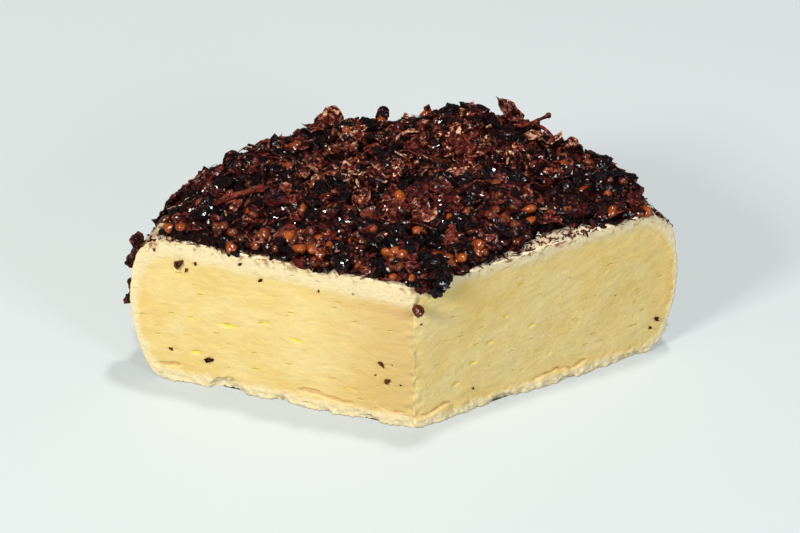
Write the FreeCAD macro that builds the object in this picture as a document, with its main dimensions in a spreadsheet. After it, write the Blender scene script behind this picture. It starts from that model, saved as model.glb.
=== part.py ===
"""A cut piece of tomme, a small semi-hard cheese wheel coated with grape marc.

The piece is a sector of a low wheel with a rounded side. Pressed grape skins, pips and
stalks coat its top and side, and the skins and stalks that are as large as a berry are
solids of their own. The wheel's axis is upright, the sector's middle points along +Y, and
both cut faces look towards -Y. Lengths are millimetres, and angles in the sheet are degrees.
"""
import FreeCAD, Part
import math
import os
import random

import Sketcher

Vector = FreeCAD.Vector
Rotation = FreeCAD.Rotation
Placement = FreeCAD.Placement
ORIGIN = Vector(0, 0, 0)
UP = Vector(0, 0, 1)
TOUCHING = 1e-6

# Every driving dimension: its name, its value and what it sets.
DIMENSIONS = (
    ("wheel_radius", 100.0, "radius of the wheel at its widest girth"),
    ("wheel_height", 60.0, "height of the cheese without its coat"),
    ("sector_angle", 136.0, "angle between the two cut faces"),
    ("girth_height", 31.0, "height of the widest girth above the base"),
    ("side_curve", 70.0, "radius of the side's upright curve"),
    ("shoulder_radius", 14.0, "rounding between the side and the top"),
    ("foot_radius", 9.0, "rounding between the side and the base"),
    ("tip_radius", 1.6, "rounding of the upright edge where the two cuts meet"),
    ("eye_depth", 0.9, "depth of the openings that the cuts show"),
    ("top_coat", 3.7, "mean thickness of the marc on the top"),
    ("side_coat", 2.8, "mean thickness of the marc on the side"),
    ("heap_height", 4.6, "how much thicker the marc lies where it is heaped most"),
    ("grain", 4.2, "spacing of the marc's lumps"),
    ("lump", 1.3, "how far a lump stands above or below the mean coat"),
    ("bare_depth", 7.0, "how strongly the marc thins towards the middle of a bare place"),
    ("coat_foot", 3.0, "height above the base where the side's marc ends"),
    ("seat_gap", 0.15, "gap between a large skin or stalk and the marc it lies on"),
    ("skin_thickness", 1.5, "thickness of a large grape skin"),
    ("skin_length", 9.0, "length of a large grape skin"),
    ("drape_radius", 2.6, "bend of the skin that hangs over the cut at the tip"),
    ("flap_length", 6.5, "how far that skin hangs down the cut"),
    ("flap_gap", 0.3, "gap between the hanging skin and the cut face"),
    ("stalk_radius", 1.0, "radius of the thick bunch stalk"),
    ("stalk_length", 17.5, "length of the thick bunch stalk"),
    ("twig_radius", 0.6, "radius of the forked twig"),
    ("twig_length", 12.0, "length of the forked twig"),
    ("pip_length", 4.8, "length of a grape pip"),
    ("pip_width", 3.6, "width of a grape pip"),
)


# ---------------------------------------------------------------- helpers


def make_sheet(doc):
    """The spreadsheet of driving dimensions: name, value and meaning in each row."""
    sheet = doc.addObject("Spreadsheet::Sheet", "Dims")
    for row, (alias, value, meaning) in enumerate(DIMENSIONS, start=1):
        sheet.set(f"A{row}", alias)
        sheet.set(f"B{row}", str(value))
        sheet.set(f"C{row}", meaning)
        sheet.setAlias(f"B{row}", alias)
    doc.recompute()
    return sheet


def new_body(doc, label):
    """An empty PartDesign body whose label names the sub-part's file."""
    body = doc.addObject("PartDesign::Body", label.title().replace("_", ""))
    body.Label = label
    return body


def new_sketch(body, name, role):
    """An empty sketch on one of the body's origin planes, such as XY_Plane."""
    sketch = body.newObject("Sketcher::SketchObject", name)
    plane = next(f for f in body.Origin.OriginFeatures if f.Role == role)
    sketch.AttachmentSupport = [(plane, "")]
    sketch.MapMode = "FlatFace"
    return sketch


def tie(sketch, name, kind, geometry, value, expression):
    """Adds a dimension to a sketch, names it and ties it to the sheet."""
    index = sketch.addConstraint(Sketcher.Constraint(kind, *geometry, value))
    sketch.renameConstraint(index, name)
    sketch.setExpression(f"Constraints.{name}", expression)


def arc(centre, radius, start, end):
    """An arc of a circle in a sketch's plane, between two angles in radians."""
    return Part.ArcOfCircle(Part.Circle(centre, UP, radius), start, end)


def cut_direction(dims, side):
    """The level direction from the tip along a cut: side is -1 for left and 1 for right."""
    angle = math.radians(dims.sector_angle) / 2
    return Vector(side * math.sin(angle), math.cos(angle), 0)


def on_wheel(azimuth, radius, height):
    """A point at an azimuth in degrees from +Y, positive towards +X."""
    a = math.radians(azimuth)
    return Vector(radius * math.sin(a), radius * math.cos(a), height)


# ---------------------------------------------------------------- the cheese itself

# The larger openings on each cut: distance from the tip, height, length, width and tilt.
# Distances are shares of the wheel's radius and height, and tilt is in degrees.
LEFT_EYES = (
    (0.655, 0.47, 7.0, 1.2, 3),
    (0.415, 0.47, 4.6, 1.3, 16),
    (0.78, 0.47, 2.4, 1.0, 0),
    (0.77, 0.24, 3.4, 1.4, -10),
    (0.52, 0.55, 2.6, 1.0, 6),
    (0.13, 0.35, 2.4, 1.0, 12),
)
RIGHT_EYES = (
    (0.44, 0.48, 2.8, 1.0, 12),
    (0.28, 0.445, 2.6, 1.1, 14),
    (0.22, 0.34, 2.6, 1.1, 10),
    (0.155, 0.22, 2.8, 1.1, 14),
    (0.62, 0.40, 2.4, 0.9, 18),
)


def wheel_section(body, dims):
    """Half of the wheel's upright section: base, foot, curved side, shoulder and top."""
    sketch = new_sketch(body, "WheelSection", "YZ_Plane")
    foot, shoulder, side = dims.foot_radius, dims.shoulder_radius, dims.side_curve
    side_x, girth, top_z = dims.wheel_radius - side, dims.girth_height, dims.wheel_height
    foot_fall = girth - foot
    foot_x = side_x + math.sqrt((side - foot) ** 2 - foot_fall**2)
    shoulder_rise = top_z - shoulder - girth
    shoulder_x = side_x + math.sqrt((side - shoulder) ** 2 - shoulder_rise**2)
    low = math.atan2(-foot_fall, foot_x - side_x)
    high = math.atan2(shoulder_rise, shoulder_x - side_x)
    quarter = math.pi / 2
    base, foot_arc, side_arc, shoulder_arc, top, axis = sketch.addGeometry(
        [
            Part.LineSegment(ORIGIN, Vector(foot_x, 0, 0)),
            arc(Vector(foot_x, foot, 0), foot, -quarter, low),
            arc(Vector(side_x, girth, 0), side, low, high),
            arc(Vector(shoulder_x, top_z - shoulder, 0), shoulder, high, quarter),
            Part.LineSegment(Vector(shoulder_x, top_z, 0), Vector(0, top_z, 0)),
            Part.LineSegment(Vector(0, top_z, 0), ORIGIN),
        ]
    )
    start, end, centre, root = 1, 2, 3, (-1, 1)
    for constraint in (
        ("Coincident", base, start, *root),
        ("Coincident", axis, end, *root),
        ("Coincident", top, end, axis, start),
        ("Tangent", base, end, foot_arc, start),
        ("Tangent", foot_arc, end, side_arc, start),
        ("Tangent", side_arc, end, shoulder_arc, start),
        ("Tangent", shoulder_arc, end, top, start),
        ("Horizontal", base),
        ("Horizontal", top),
        ("Vertical", axis),
    ):
        sketch.addConstraint(Sketcher.Constraint(*constraint))
    tie(sketch, "foot_radius", "Radius", (foot_arc,), foot, "Dims.foot_radius")
    tie(sketch, "side_curve", "Radius", (side_arc,), side, "Dims.side_curve")
    tie(sketch, "shoulder", "Radius", (shoulder_arc,), shoulder, "Dims.shoulder_radius")
    tie(sketch, "height", "DistanceY", (*root, top, end), top_z, "Dims.wheel_height")
    tie(sketch, "girth", "DistanceY", (*root, side_arc, centre), girth, "Dims.girth_height")
    side_expression = "Dims.wheel_radius - Dims.side_curve"
    tie(sketch, "side_x", "DistanceX", (*root, side_arc, centre), side_x, side_expression)
    return sketch


def eye_sketch(body, dims, side, eyes):
    """Slot-shaped openings drawn on one cut's plane, with x from the tip outwards."""
    name = "LeftEyes" if side < 0 else "RightEyes"
    sketch = new_sketch(body, name, "YZ_Plane")
    turn = Placement(ORIGIN, Rotation(Vector(0, 1, 0), -side * dims.sector_angle / 2))
    sketch.AttachmentOffset = turn
    for from_tip, height, length, width, tilt in eyes:
        middle = Vector(from_tip * dims.wheel_radius, height * dims.wheel_height, 0)
        along = Rotation(UP, tilt).multVec(Vector((length - width) / 2, 0, 0))
        across = Rotation(UP, tilt).multVec(Vector(0, width / 2, 0))
        heading, half_turn = math.radians(tilt), math.pi / 2
        far, near = middle + along, middle - along
        sketch.addGeometry(
            [
                Part.LineSegment(near - across, far - across),
                arc(far, width / 2, heading - half_turn, heading + half_turn),
                Part.LineSegment(far + across, near + across),
                arc(near, width / 2, heading + half_turn, heading + 3 * half_turn),
            ]
        )
    return sketch


def make_cheese(doc, dims):
    """The paste and its rind: a sector of the wheel, its tip rounded, its eyes cut."""
    body = new_body(doc, "cheese")
    section = wheel_section(body, dims)
    doc.recompute()
    sector = body.newObject("PartDesign::Revolution", "Sector")
    sector.Profile = section
    sector.ReferenceAxis = (section, ["V_Axis"])
    sector.Midplane = True
    sector.setExpression("Angle", "Dims.sector_angle")
    doc.recompute()
    tip_edge = next(
        f"Edge{number}"
        for number, edge in enumerate(sector.Shape.Edges, start=1)
        if edge.BoundBox.XLength < TOUCHING and edge.BoundBox.YLength < TOUCHING
    )
    tip = body.newObject("PartDesign::Fillet", "TipRounding")
    tip.Base = (sector, [tip_edge])
    tip.setExpression("Radius", "Dims.tip_radius")
    doc.recompute()
    for side, eyes in ((-1, LEFT_EYES), (1, RIGHT_EYES)):
        whole = body.Tip.Shape.Volume
        sketch = eye_sketch(body, dims, side, eyes)
        pocket = body.newObject("PartDesign::Pocket", sketch.Name + "Pocket")
        pocket.Profile = sketch
        pocket.Reversed = side < 0
        pocket.setExpression("Length", "Dims.eye_depth")
        doc.recompute()
        if pocket.Shape.Volume > whole - TOUCHING:
            raise ValueError(f"{pocket.Name} cuts nothing")
    return body, section


# ---------------------------------------------------------------- the coat of marc

# Places where the marc is scraped off the rind, and places where it is heaped: azimuth in
# degrees, distance from the axis and height as shares of the wheel's radius and height,
# half length around the rim and half width across it in mm, and strength as a share.
BARE_PLACES = (
    (66.5, 0.55, 1.00, 7.5, 17, 1.0),
    (-66, 0.93, 0.91, 8, 9, 1.0),
    (-68, 0.98, 0.45, 14, 32, 1.0),
    (-52, 0.92, 0.96, 6, 4, 1.0),
    (-23, 0.93, 0.95, 5, 5, 0.3),
    (-6, 0.95, 0.95, 12, 4, 1.0),
    (68, 0.99, 0.42, 9, 31, 1.0),
    (-38, 1.00, 0.40, 14, 9, 1.0),
    (-12, 0.99, 0.24, 9, 6, 1.0),
    (8, 1.00, 0.46, 17, 8, 1.0),
    (31, 0.99, 0.62, 8, 8, 1.0),
    (46, 0.99, 0.28, 12, 7, 1.0),
)
HEAPED_PLACES = (
    (19, 0.86, 1.05, 26, 22, 1.0),
    (-13, 0.90, 1.05, 5, 6, 0.9),
    (-33, 0.90, 1.05, 14, 9, 0.45),
    (30, 0.55, 1.05, 18, 14, 0.4),
    (20, 0.08, 1.05, 7, 8, 0.5),
)


def outer_outline(section, dims):
    """Points (radius, height) from the axis over the top and down the side to the foot."""
    edges = [(edge, edge.BoundBox) for edge in section.Shape.Edges]
    outside = [edge for edge, box in edges if box.ZMax > TOUCHING and box.YMax > TOUCHING]
    wire = Part.Wire(Part.__sortEdges__(outside))
    points = wire.discretize(Number=round(wire.Length / dims.grain) + 1)
    if points[0].z < points[-1].z:
        points.reverse()
    return [(p.y, p.z) for p in points if p.z > dims.coat_foot + dims.grain / 2]


def outward(points, i):
    """The outline's outward direction at point i, as (radius, height)."""
    (r0, z0), (r1, z1) = points[max(i - 1, 0)], points[min(i + 1, len(points) - 1)]
    length = math.hypot(r1 - r0, z1 - z0)
    return (z0 - z1) / length, (r1 - r0) / length


def unevenness(point):
    """A smooth value from about -1 to 1 that changes over a few centimetres."""
    return (
        math.sin(point.x / 9.0 + 1.3) * math.cos(point.y / 11.0 + point.z / 8.0)
        + math.sin((point.x + point.y) / 15.0 + point.z / 6.0 + 0.4)
        + math.sin((point.x - point.y) / 6.5 - point.z / 9.0)
    ) / 2.4


def strongest(places, point, azimuth, dims):
    """How strongly the places act on a point: most in a place's middle, and 0 outside."""
    radius = math.hypot(point.x, point.y)
    most = 0.0
    for middle, from_axis, up, along, across, strength in places:
        around = math.radians(azimuth - middle) * radius / along
        rise = (point.z - up * dims.wheel_height) / across
        reach = (radius - from_axis * dims.wheel_radius) / across
        most = max(most, strength * (1 - around**2 - rise**2 - reach**2))
    return most


def coat_thickness(point, azimuth, rise, to_cut, dims):
    """How thick the marc lies at a point: rise is 1 on the top and 0 on the side.

    It is below zero in a bare place. The marc thins out within a lump of a cut, and
    towards the foot of the side.
    """
    level = max(0.0, rise) ** 2
    mean = dims.top_coat * level + dims.side_coat * (1 - level)
    mean *= 1 + 0.25 * unevenness(point)
    mean += dims.heap_height * strongest(HEAPED_PLACES, point, azimuth, dims)
    mean *= min(1.0, 0.15 + to_cut / dims.grain)
    mean *= min(1.0, 0.3 + (point.z - dims.coat_foot) / dims.foot_radius)
    return mean - dims.bare_depth * strongest(BARE_PLACES, point, azimuth, dims)


def marc_rings(outline, dims):
    """Rings of points over the coat's lumpy outer face, from the axis to its foot."""
    chance = random.Random(7)
    half = dims.sector_angle / 2
    rings = []
    for i, (radius, height) in enumerate(outline):
        out, rise = outward(outline, i)
        steps = max(2, round(2 * math.radians(half) * radius / dims.grain)) if i else 0
        ring = []
        for k in range(steps + 1):
            at_cut = k in (0, steps)
            shake = 0.0 if at_cut else chance.uniform(-0.3, 0.3)
            azimuth = half * (2 * (k + shake) / steps - 1) if steps else 0.0
            to_cut = radius * math.radians(half - abs(azimuth))
            point = on_wheel(azimuth, radius, height)
            thick = coat_thickness(point, azimuth, rise, to_cut, dims)
            thick += dims.lump * chance.uniform(-1.0, 1.0)
            ring.append(on_wheel(azimuth, radius + thick * out, height + thick * rise))
        rings.append(ring)
    rings.append([Vector(p.x, p.y, dims.coat_foot) for p in rings[-1]])
    return rings


def zip_rings(inner, outer):
    """Triangles between two rings, which may have different numbers of points."""
    triangles = []
    i = j = 0
    inner_last, outer_last = len(inner) - 1, len(outer) - 1
    while i < inner_last or j < outer_last:
        inner_is_next = i < inner_last and (i + 1) * outer_last < (j + 1) * inner_last
        if j == outer_last or inner_is_next:
            triangles.append((inner[i], outer[j], inner[i + 1]))
            i += 1
        else:
            triangles.append((inner[i], outer[j], outer[j + 1]))
            j += 1
    return triangles


def marc_block(outline, dims):
    """A closed solid that fills the sector out to the coat's lumpy outer face."""
    rings = marc_rings(outline, dims)
    outlines = [c for pair in zip(rings, rings[1:]) for c in zip_rings(*pair)]
    axis_foot = Vector(0, 0, dims.coat_foot)
    for side in (0, -1):
        outlines.append([ring[side] for ring in rings] + [axis_foot])
    outlines.append([*rings[-1], axis_foot])
    faces = [Part.Face(Part.makePolygon([*corners, corners[0]])) for corners in outlines]
    shell = Part.makeShell(faces)
    shell.sewShape()
    return Part.makeSolid(shell)


def make_coat(doc, section, dims):
    """The marc: the lumpy block less the whole wheel, without the crumbs this cuts loose."""
    block = marc_block(outer_outline(section, dims), dims)
    half_section = Part.Face(Part.Wire(Part.__sortEdges__(section.Shape.Edges)))
    wheel = half_section.revolve(ORIGIN, UP, 360)
    pieces = block.cut(wheel).Solids
    return make_solid_part(doc, "marc_coat", max(pieces, key=lambda piece: piece.Volume))


# ---------------------------------------------------------------- large skins and stalks


def bent_path(run, radius, turn, end_run, count=8):
    """A straight run, a bend of turn degrees and an end run, as share, point and direction.

    The path starts at the origin along +X and bends towards +Z, or -Z if turn is negative.
    """
    sweep = math.radians(abs(turn))
    up = 1 if turn > 0 else -1
    total = run + radius * sweep + end_run
    for step in range(count + 1):
        s = total * step / count
        bend = min(max((s - run) / radius, 0.0), sweep)
        tail = max(0.0, s - run - radius * sweep)
        x = min(s, run) + radius * math.sin(bend) + tail * math.cos(bend)
        z = radius * (1 - math.cos(bend)) + tail * math.sin(bend)
        along = Vector(math.cos(bend), 0, up * math.sin(bend))
        yield step / count, Vector(x, 0, up * z), along


def skin_solid(width, thickness, camber, path):
    """A grape skin: lens-shaped sections lofted along a path, tapering to both ends.

    Its side edges are crinkled and curl up by the camber, away from what it lies on.
    """
    sections = []
    corners = 8
    for share, centre, along in path:
        crinkle = 1 + 0.16 * math.sin(9.0 * share + width) + 0.08 * math.sin(17.0 * share)
        half = 0.5 * width * crinkle * math.sin(math.pi * (0.08 + 0.83 * share)) ** 0.7
        upward = along.cross(Vector(0, 1, 0))
        rim = []
        for k in range(corners):
            a = 2 * math.pi * k / corners
            ripple = 1 + 0.8 * math.sin(8.0 * share + 2.0 * math.cos(a))
            lift = 0.5 * thickness * math.sin(a) + camber * ripple * math.cos(a) ** 2
            rim.append(centre + Vector(0, half * math.cos(a), 0) + upward * lift)
        curve = Part.BSplineCurve()
        curve.interpolate(rim, PeriodicFlag=True)
        sections.append(Part.Wire(curve.toShape()))
    return Part.makeLoft(sections, True, False)


def make_solid_part(doc, label, shape):
    """A document object with a ready-made shape."""
    part = doc.addObject("Part::Feature", label.title().replace("_", ""))
    part.Label = label
    part.Shape = shape
    return part


def pipe_along(body, name, cell, radius, points, bulge):
    """A round stalk along an arc through three points of the XZ plane, with an end knob."""
    path = new_sketch(body, name + "Path", "XZ_Plane")
    bend = Part.Arc(*points)
    path.addGeometry(bend)
    start, _, end = points
    tangent = bend.tangent(bend.parameter(start))[0]
    ring = body.newObject("Sketcher::SketchObject", name + "Ring")
    ring.Placement = Placement(flat_to_upright(start), Rotation(UP, flat_to_upright(tangent)))
    ring.addGeometry(Part.Circle(ORIGIN, UP, radius))
    tie(ring, "radius", "Radius", (0,), radius, f"Dims.{cell}")
    body.Document.recompute()
    pipe = body.newObject("PartDesign::AdditivePipe", name)
    pipe.Profile = ring
    pipe.Spine = (path, ["Edge1"])
    body.Document.recompute()
    knob = body.newObject("PartDesign::AdditiveSphere", name + "Knob")
    knob.Placement = Placement(flat_to_upright(end), Rotation())
    knob.setExpression("Radius", f"Dims.{cell} * {bulge}")
    body.Document.recompute()


def flat_to_upright(vector):
    """A vector drawn in XY, stood up in the XZ plane."""
    return Vector(vector.x, 0, vector.y)


def make_stalk(doc, dims):
    """The thick piece of bunch stalk, slightly bowed, swollen where a berry sat."""
    body = new_body(doc, "left_stalk")
    length = dims.stalk_length
    points = (ORIGIN, Vector(0.5 * length, 0.05 * length, 0), Vector(length, 0, 0))
    pipe_along(body, "Stalk", "stalk_radius", dims.stalk_radius, points, 1.25)
    return body


def make_twig(doc, dims):
    """The forked twig: a main branch with a berry's knob, and a bare side branch."""
    body = new_body(doc, "back_twig")
    unit = dims.twig_length
    fork = Vector(0.45 * unit, 0.06 * unit, 0)
    main = (ORIGIN, fork, Vector(0.92 * unit, 0.22 * unit, 0))
    side = (fork, Vector(0.75 * unit, -0.20 * unit, 0), Vector(unit, -0.55 * unit, 0))
    pipe_along(body, "Main", "twig_radius", dims.twig_radius, main, 1.7)
    pipe_along(body, "Side", "twig_radius", dims.twig_radius, side, 1.1)
    return body


def make_pip(doc, dims):
    """A grape pip: an egg-shaped seed, blunt at one end."""
    body = new_body(doc, "tip_pip")
    sketch = new_sketch(body, "PipSection", "XZ_Plane")
    long, wide = dims.pip_length, dims.pip_width / 2
    blunt, waist = Vector(0, 0, 0), Vector(0.38 * long, wide, 0)
    flank, beak = Vector(0.78 * long, 0.55 * wide, 0), Vector(long, 0, 0)
    outline = Part.BSplineCurve()
    outline.interpolate([blunt, Vector(0.08 * long, 0.62 * wide, 0), waist, flank, beak])
    sketch.addGeometry([outline, Part.LineSegment(beak, blunt)])
    doc.recompute()
    pip = body.newObject("PartDesign::Revolution", "Pip")
    pip.Profile = sketch
    pip.ReferenceAxis = (sketch, ["H_Axis"])
    doc.recompute()
    return body


def place(part, position, along, outward_way):
    """Puts a part's local origin at a point, turning its +Z outward and its +X along."""
    part.Placement = Placement(position, Rotation(along, ORIGIN, outward_way, "ZXY"))


def seat(part, supports, towards, gap):
    """Moves a hovering part until it lies a gap away from what supports it."""
    swept = part.Shape.BoundBox
    reach = part.Shape.copy()
    reach.translate(towards * 30)
    swept.add(reach.BoundBox)
    swept.enlarge(4)
    corner = Vector(swept.XMin, swept.YMin, swept.ZMin)
    window = Part.makeBox(swept.XLength, swept.YLength, swept.ZLength, corner)
    near = Part.makeCompound([support.Shape.common(window) for support in supports])
    for _ in range(120):
        distance = part.Shape.distToShape(near)[0]
        if distance < gap * 1.05:
            return
        part.Placement.Base = part.Placement.Base + towards * (distance - gap * 0.95)
    raise ValueError(f"{part.Label} has found no support")


# Large skins that lie on the marc: name, width, camber, bend radius and turn in degrees,
# then azimuth, distance from the axis and the direction its path starts in.
LYING_SKINS = (
    ("back_skin", 6.0, 0.8, 4.5, 70, 25, 0.88, Vector(0.3, 0.9, 0.2)),
    ("right_skin", 5.6, 0.7, 14, -20, 49, 0.82, Vector(0.97, -0.2, 0)),
)
# Small skins that cling to the bare side beside the left cut: name, width and height.
CLINGING_SKINS = (
    ("left_skin_upper", 5.6, 0.88),
    ("left_skin_lower", 4.5, 0.59),
)
# How far out a piece starts before it is lowered, and the straight ends of a skin's path
# as shares of its length.
HOVER = 14
LYING_END, CLINGING_END = 0.3, 0.2


def make_loose_pieces(doc, dims, supports):
    """The large skins, stalks and pip, each lowered until it rests on marc or rind."""
    thick, long, gap = dims.skin_thickness, dims.skin_length, dims.seat_gap
    radius, height = dims.wheel_radius, dims.wheel_height
    above, beyond = height + HOVER, radius + HOVER
    down = -UP
    pieces = []

    def lay(part, position, along, outward_way, towards):
        place(part, position, along, outward_way)
        seat(part, supports, towards, gap)
        pieces.append(part)

    def skin(label, width, camber, *bend):
        return make_solid_part(doc, label, skin_solid(width, thick, camber, bent_path(*bend)))

    stalk_start = on_wheel(-56, 0.76 * radius, above)
    lay(make_stalk(doc, dims), stalk_start, Vector(0.9, 0.44, 0), Vector(-0.44, 0.9, 0), down)
    twig_start = on_wheel(28, 0.89 * radius, above)
    lay(make_twig(doc, dims), twig_start, Vector(0.94, 0.1, 0.25), Vector(0, 0.9, 0.43), down)

    end = LYING_END * long
    for label, width, camber, bend, turn, azimuth, from_axis, along in LYING_SKINS:
        piece = skin(label, width, camber, end, bend, turn, end)
        lay(piece, on_wheel(azimuth, from_axis * radius, above), along, UP, down)

    right_cut = cut_direction(dims, 1)
    cut_normal = Vector(right_cut.y, -right_cut.x, 0)
    inside = end + dims.drape_radius - dims.flap_gap - thick
    start = right_cut * (dims.tip_radius + 0.7 * long) - cut_normal * inside + UP * above
    draped = skin("tip_skin", 6.5, 0.3, end, dims.drape_radius, -90, dims.flap_length)
    lay(draped, start, cut_normal, UP, down)

    end = CLINGING_END * long
    outwards = on_wheel(3 - dims.sector_angle / 2, 1, 0)
    for label, width, up in CLINGING_SKINS:
        start = outwards * beyond + UP * up * height
        lay(skin(label, width, 0.6, end, 9, 30, end), start, down, outwards, -outwards)

    in_front = Vector(0, -dims.pip_width, 0.89 * height)
    lay(make_pip(doc, dims), in_front, Vector(0.6, 0, -0.8), Vector(0, -1, 0), Vector(0, 1, 0))
    return pieces


# ---------------------------------------------------------------- the whole part


def centre_over_origin(parts):
    """Moves every part together, so that the base's middle is at the origin."""
    overall = FreeCAD.BoundBox()
    for part in parts:
        overall.add(part.Shape.optimalBoundingBox())
    shift = Vector(-overall.Center.x, -overall.Center.y, -overall.ZMin)
    for part in parts:
        part.Placement.Base = part.Placement.Base + shift


def check(doc, parts):
    """Stops the build if a document object or a finished part is not sound."""
    for thing in doc.Objects:
        if {"Invalid", "Error"} & set(thing.State):
            raise ValueError(f"{thing.Name}: {thing.State}")
    for part in parts:
        shape = part.Shape
        if shape.isNull() or not shape.isValid() or len(shape.Solids) != 1:
            raise ValueError(f"{part.Label} is not one valid solid")


def main():
    doc = FreeCAD.newDocument("Tomme")
    dims = make_sheet(doc)
    cheese, section = make_cheese(doc, dims)
    coat = make_coat(doc, section, dims)
    parts = [cheese, coat, *make_loose_pieces(doc, dims, (cheese, coat))]
    centre_over_origin(parts)
    doc.recompute()
    check(doc, parts)
    os.makedirs("parts", exist_ok=True)
    for part in parts:
        part.Shape.exportStep(f"parts/{part.Label}.step")


main()
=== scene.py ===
"""Looks of a cut piece of tomme coated with grape marc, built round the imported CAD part.

Lengths are millimetres until a mesh is made, and then metres. A point on the wheel is given
by its distance from the wheel's axis, its azimuth from +Y towards +X, and its height.
"""
import itertools
import math

import bpy
import numpy as np
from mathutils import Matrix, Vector
from mathutils.bvhtree import BVHTree


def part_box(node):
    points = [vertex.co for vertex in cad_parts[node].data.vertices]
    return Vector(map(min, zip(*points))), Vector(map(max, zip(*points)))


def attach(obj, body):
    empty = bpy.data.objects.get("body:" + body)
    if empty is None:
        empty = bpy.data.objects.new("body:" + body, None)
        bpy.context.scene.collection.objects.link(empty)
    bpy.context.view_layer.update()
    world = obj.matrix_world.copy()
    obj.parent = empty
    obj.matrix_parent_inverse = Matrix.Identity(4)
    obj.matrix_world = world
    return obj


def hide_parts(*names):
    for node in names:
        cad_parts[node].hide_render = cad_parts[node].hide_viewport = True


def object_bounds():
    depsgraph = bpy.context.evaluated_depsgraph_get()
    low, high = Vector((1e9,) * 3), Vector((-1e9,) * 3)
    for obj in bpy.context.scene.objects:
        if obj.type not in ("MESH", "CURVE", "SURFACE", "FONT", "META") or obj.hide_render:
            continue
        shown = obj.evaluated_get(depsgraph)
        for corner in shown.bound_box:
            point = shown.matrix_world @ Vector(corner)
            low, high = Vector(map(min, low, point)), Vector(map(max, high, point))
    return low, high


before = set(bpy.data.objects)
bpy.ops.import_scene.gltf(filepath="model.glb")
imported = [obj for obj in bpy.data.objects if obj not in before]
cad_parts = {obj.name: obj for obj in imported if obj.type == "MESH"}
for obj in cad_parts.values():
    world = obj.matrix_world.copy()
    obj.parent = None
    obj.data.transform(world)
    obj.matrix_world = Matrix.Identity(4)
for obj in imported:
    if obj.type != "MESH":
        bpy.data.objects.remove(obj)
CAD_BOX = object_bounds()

MM = 0.001

# ---- the wheel's sizes

CHEESE_LOW, CHEESE_HIGH = (np.array(corner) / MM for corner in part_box("cheese"))
HALF_ANGLE = math.radians(68)
SIDE_CURVE, GIRTH = 70.0, 31.0
SHOULDER, FOOT = 14.0, 9.0
TIP_ROUNDING = 1.6
HEIGHT = CHEESE_HIGH[2]
RADIUS = (CHEESE_HIGH[0] - CHEESE_LOW[0]) / 2 / math.sin(HALF_ANGLE)
AXIS_X = (CHEESE_HIGH[0] + CHEESE_LOW[0]) / 2
AXIS_Y = CHEESE_LOW[1] - TIP_ROUNDING * (1 / math.sin(HALF_ANGLE) - 1)
# The heights in metres over which the side turns into the flat top.
TOP_FACE = ((HEIGHT - 1.5) * MM, (HEIGHT - 0.5) * MM)


# ---- helpers


def rows(*columns):
    """Rows of points or faces from columns, each a list or one value."""
    return np.stack(np.broadcast_arrays(*columns), axis=-1)


def chain(*parts):
    """All the values of the parts in one list."""
    return np.concatenate([np.ravel(part) for part in parts])


def smooth_noise(points, size, seed):
    """Values from about -1 to 1 that change smoothly over about size, one for each point."""
    table_side = 48
    table = np.random.default_rng(seed).uniform(-1, 1, (table_side,) * 3)
    scaled = np.asarray(points, float) / size
    cells = np.floor(scaled).astype(int)
    part = scaled - cells
    part = part * part * (3 - 2 * part)
    total = np.zeros(scaled.shape[:-1])
    for corner in itertools.product((0, 1), repeat=3):
        place = np.moveaxis((cells + corner) % table_side, -1, 0)
        total += np.prod(np.where(corner, part, 1 - part), axis=-1) * table[tuple(place)]
    return total


def layered_noise(points, size, seed, layers=3):
    """Smooth noise with finer, weaker layers on top."""
    return sum(smooth_noise(points, size / 2**n, seed + n) / 2**n for n in range(layers))


def smooth_step(low, high, value):
    """0 below low, 1 above high, and smooth between them."""
    t = np.clip((value - low) / (high - low), 0, 1)
    return t * t * (3 - 2 * t)


def unit(vectors):
    """The same vectors with length 1."""
    return vectors / np.maximum(np.linalg.norm(vectors, axis=-1, keepdims=True), 1e-9)


def sphere_way(out, azimuth, up):
    """Vectors that go out from the axis and up, as rows of x, y and z."""
    return rows(out * np.sin(azimuth), out * np.cos(azimuth), up)


def on_wheel(radius, azimuth, height):
    """Points on the wheel, as rows of x, y and z."""
    return sphere_way(radius, azimuth, height) + [AXIS_X, AXIS_Y, 0]


def cut_normal(side):
    """The outward normal of the left cut (side -1) or the right cut (side 1)."""
    return np.array([side * math.cos(HALF_ANGLE), -math.sin(HALF_ANGLE), 0])


def add_object(name, data):
    """A new object in the scene."""
    item = bpy.data.objects.new(name, data)
    bpy.context.scene.collection.objects.link(item)
    return item


def make_piece(name, points, faces, material, slot, replaced=(), **attributes):
    """A mesh object in the frame, with a value of each named attribute for each vertex."""
    mesh = bpy.data.meshes.new(name)
    mesh.from_pydata((np.asarray(points) * MM).tolist(), [], np.asarray(faces).tolist())
    mesh.validate()
    for key, values in attributes.items():
        layer = mesh.attributes.new(key, "FLOAT", "POINT")
        layer.data.foreach_set("value", np.asarray(values, np.float32))
    mesh.shade_smooth()
    mesh.materials.append(material)
    piece = add_object(name, mesh)
    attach(piece, "root")
    if replaced:
        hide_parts(*replaced)
    return piece


def grid_faces(lines, columns):
    """Quads of a grid whose vertices are numbered line by line."""
    first = (np.arange(lines - 1)[:, None] * columns + np.arange(columns - 1)).ravel()
    return rows(first, first + 1, first + columns + 1, first + columns)


# ---- node helpers


def srgb(*channels):
    """A colour of three values from 0 to 255, as the linear values that shaders take."""
    shares = (channel / 255 for channel in channels)
    return (*(c / 12.92 if c <= 0.04045 else ((c + 0.055) / 1.055) ** 2.4 for c in shares), 1)


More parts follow.
